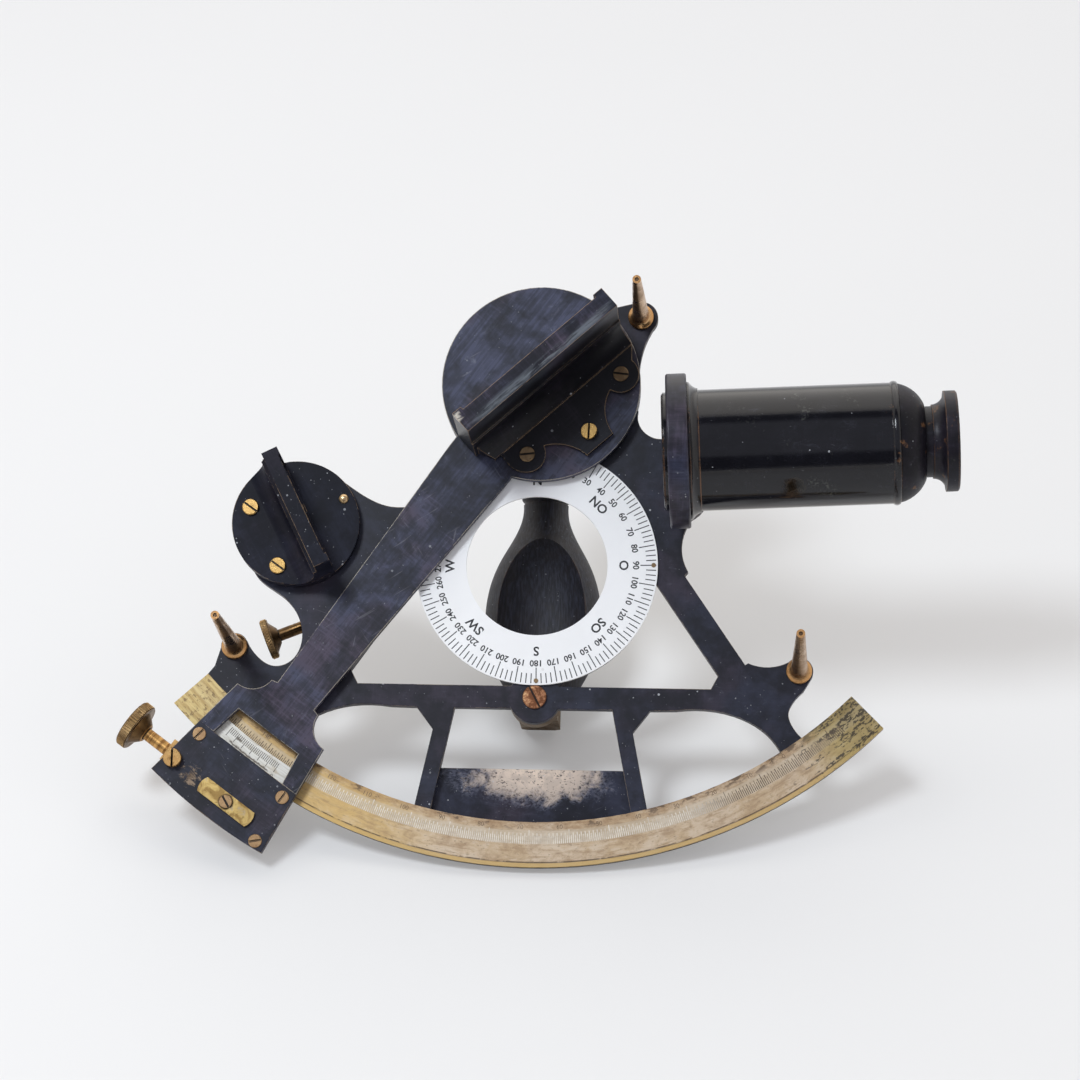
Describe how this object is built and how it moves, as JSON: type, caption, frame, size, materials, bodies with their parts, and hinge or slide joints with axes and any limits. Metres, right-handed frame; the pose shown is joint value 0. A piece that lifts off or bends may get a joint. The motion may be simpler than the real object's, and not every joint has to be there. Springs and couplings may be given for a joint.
{
  "type": "vernier sextant",
  "caption": "Hand-held navigation sextant with a graduated arc, swinging index arm, tilting mirror brackets, telescope and rear wooden grip.",
  "frame": {"origin": "on the index arm's pivot axis, at the front face of the frame plate", "axes": "+Z out of the instrument's face, along the pivot axis; +Y from the graduated arc towards the pivot, along the frame's middle line; +X to the right, along the telescope"},
  "size_m": [0.317, 0.2236, 0.1236],
  "materials": {
    "black_lacquer": "worn satin black lacquer on brass, rubbed light at the edges",
    "telescope_black": "glossy black lacquer, worn to brass on the rims",
    "eyecup_black": "turned black ebonite, dusty",
    "limb_brass": "old brass with a pale tan patina and dark spots",
    "vernier_silver": "silvered brass, brushed",
    "bright_brass": "polished brass",
    "knurled_brass": "brown worn brass, bright on the knurl's points",
    "leg_brass": "reddish turned brass",
    "copper_screw": "reddish brown brass screw heads",
    "dull_brass": "dull brown brass",
    "worn_plate": "black lacquer worn through to silvery metal in the middle",
    "white_card": "smooth white plastic",
    "ebonised_wood": "dark ebonised wood with open grain",
    "mirror_glass": "silvered glass",
    "lens_glass": "clear lens glass"
  },
  "bodies": {
    "frame": {"frame_plate": "black_lacquer", "limb_arc": "limb_brass", "limb_rivets": "limb_brass", "compass_ring": "white_card", "ring_pins": "bright_brass", "souvenir_plate": "worn_plate", "back_screws": "bright_brass", "handle_screw": "copper_screw", "handle_pillar": "dull_brass", "handle_foot_block": "dull_brass", "handle_top_bracket": "black_lacquer", "top_bracket_screw": "dull_brass", "handle_grip": "ebonised_wood", "handle_rod": "dull_brass", "handle_nut": "dull_brass", "index_bearing": "dull_brass", "horizon_bush": "dull_brass", "adjuster_block": "black_lacquer", "collar_socket": "black_lacquer", "leg_top": "leg_brass", "leg_left": "leg_brass", "leg_right": "leg_brass"},
    "index_arm_body": {"index_arm": "black_lacquer", "index_cover_plate": "black_lacquer", "cover_screws": "copper_screw", "brass_tab": "bright_brass", "vernier_plate": "vernier_silver", "index_axle": "dull_brass", "axle_nut": "dull_brass", "index_mirror_bracket": "black_lacquer", "index_mirror": "mirror_glass", "index_bracket_screws": "dull_brass", "index_adjust_screw": "bright_brass", "tangent_bearing": "dull_brass", "tangent_bearing_screw": "leg_brass"},
    "tangent_screw_body": {"tangent_screw": "knurled_brass"},
    "clamp": {"clamp_carriage": "dull_brass"},
    "clamp_screw_body": {"clamp_screw": "knurled_brass"},
    "horizon": {"horizon_disc": "black_lacquer", "horizon_bracket": "black_lacquer", "horizon_mirror": "mirror_glass", "horizon_screws": "bright_brass", "horizon_pin": "copper_screw", "horizon_axle": "dull_brass", "horizon_axle_nut": "dull_brass", "horizon_lever": "dull_brass"},
    "horizon_screw_body": {"horizon_adjust_screw": "knurled_brass"},
    "telescope": {"telescope_collar": "telescope_black", "telescope_barrel": "telescope_black", "objective_cell": "telescope_black", "objective_lens": "lens_glass", "eyepiece_housing": "telescope_black"},
    "eyepiece": {"draw_tube": "eyecup_black", "eyecup": "eyecup_black", "eye_lens": "lens_glass"},
    "collar_nut_body": {"collar_nut": "knurled_brass"}
  },
  "joints": [
    {"name": "index_arm_swing", "type": "hinge", "parent": "frame", "child": "index_arm_body", "pos_m": [0, 0, 0], "axis": [0, 0, 1], "range_deg": [-2.8, 71]},
    {"name": "tangent_screw_turn", "type": "hinge", "parent": "index_arm_body", "child": "tangent_screw_body", "pos_m": [-0.15132, -0.13384, -0.0035], "axis": [0.808, -0.5892, 0], "range_deg": [-1450, 1450]},
    {"name": "clamp_slide", "type": "slide", "parent": "index_arm_body", "child": "clamp", "axis": [0.808, -0.5892, 0], "range_m": [-0.0032, 0.0032]},
    {"name": "clamp_screw_turn", "type": "hinge", "parent": "clamp", "child": "clamp_screw_body", "pos_m": [-0.10442, -0.1454, -0.012], "axis": [0, 0, 1], "range_deg": [-180, 0]},
    {"name": "horizon_mirror_turn", "type": "hinge", "parent": "frame", "child": "horizon", "pos_m": [-0.0923, -0.0559, 0], "axis": [0, 0, 1], "range_deg": [-3, 3]},
    {"name": "horizon_screw_turn", "type": "hinge", "parent": "frame", "child": "horizon_screw_body", "pos_m": [-0.1026, -0.0982, -0.012], "axis": [0.9278, 0.373, 0], "range_deg": [-1345, 1345]},
    {"name": "telescope_lift", "type": "slide", "parent": "frame", "child": "telescope", "axis": [0, 0, 1], "range_m": [0, 0.006]},
    {"name": "collar_nut_turn", "type": "hinge", "parent": "frame", "child": "collar_nut_body", "pos_m": [0.05349, -0.03169, -0.019], "axis": [0, 0, 1], "range_deg": [-2170, 10]},
    {"name": "eyepiece_focus", "type": "slide", "parent": "telescope", "child": "eyepiece", "axis": [0.9986, 0.0532, 0], "range_m": [-0.0024, 0.006]}
  ],
  "couplings": [
    {"joint": "tangent_screw_turn", "follows": "clamp_slide", "rad_per_m": -7854},
    {"joint": "horizon_screw_turn", "follows": "horizon_mirror_turn", "ratio": -444.92},
    {"joint": "collar_nut_turn", "follows": "telescope_lift", "rad_per_m": -6283.2}
  ]
}
